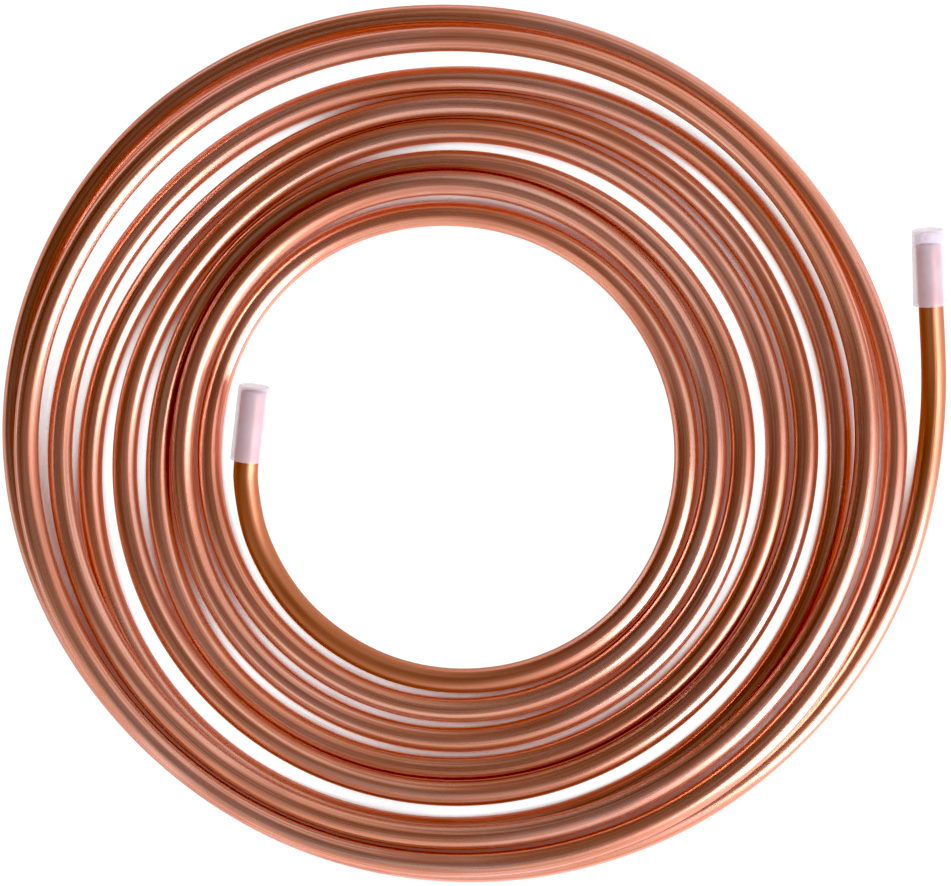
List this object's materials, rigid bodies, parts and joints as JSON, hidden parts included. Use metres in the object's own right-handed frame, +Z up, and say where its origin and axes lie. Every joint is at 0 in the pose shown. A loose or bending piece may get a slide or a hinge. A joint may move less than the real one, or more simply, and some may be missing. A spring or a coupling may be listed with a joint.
{
  "type": "immersion wort chiller coil",
  "caption": "Flat spiral coil of soft copper tube for cooling wort, with a push-on plastic cap closing each tube end.",
  "frame": {"origin": "on the floor, under the middle of the whole outline: the coil, its outer tail and the outer cap", "axes": "+Z up from the floor the coil lies on; +Y the way both tube ends point; +X towards the outer tail"},
  "size_m": [0.3664, 0.3411, 0.0268],
  "materials": {
    "copper": "bright drawn copper with fine lengthwise draw lines",
    "cap_plastic": "frosted translucent, lightly scuffed"
  },
  "bodies": {
    "coil": {"copper_tube": "copper"},
    "outer_cap": {"outer_end_cap": "cap_plastic"},
    "inner_cap": {"inner_end_cap": "cap_plastic"}
  },
  "joints": [
    {"name": "outer_cap_pull", "type": "slide", "parent": "coil", "child": "outer_cap", "axis": [-0.0637, 0.9803, 0.1867], "range_m": [0, 0.0245]},
    {"name": "inner_cap_pull", "type": "slide", "parent": "coil", "child": "inner_cap", "axis": [0.1183, 0.9767, 0.1791], "range_m": [0, 0.0282]}
  ]
}
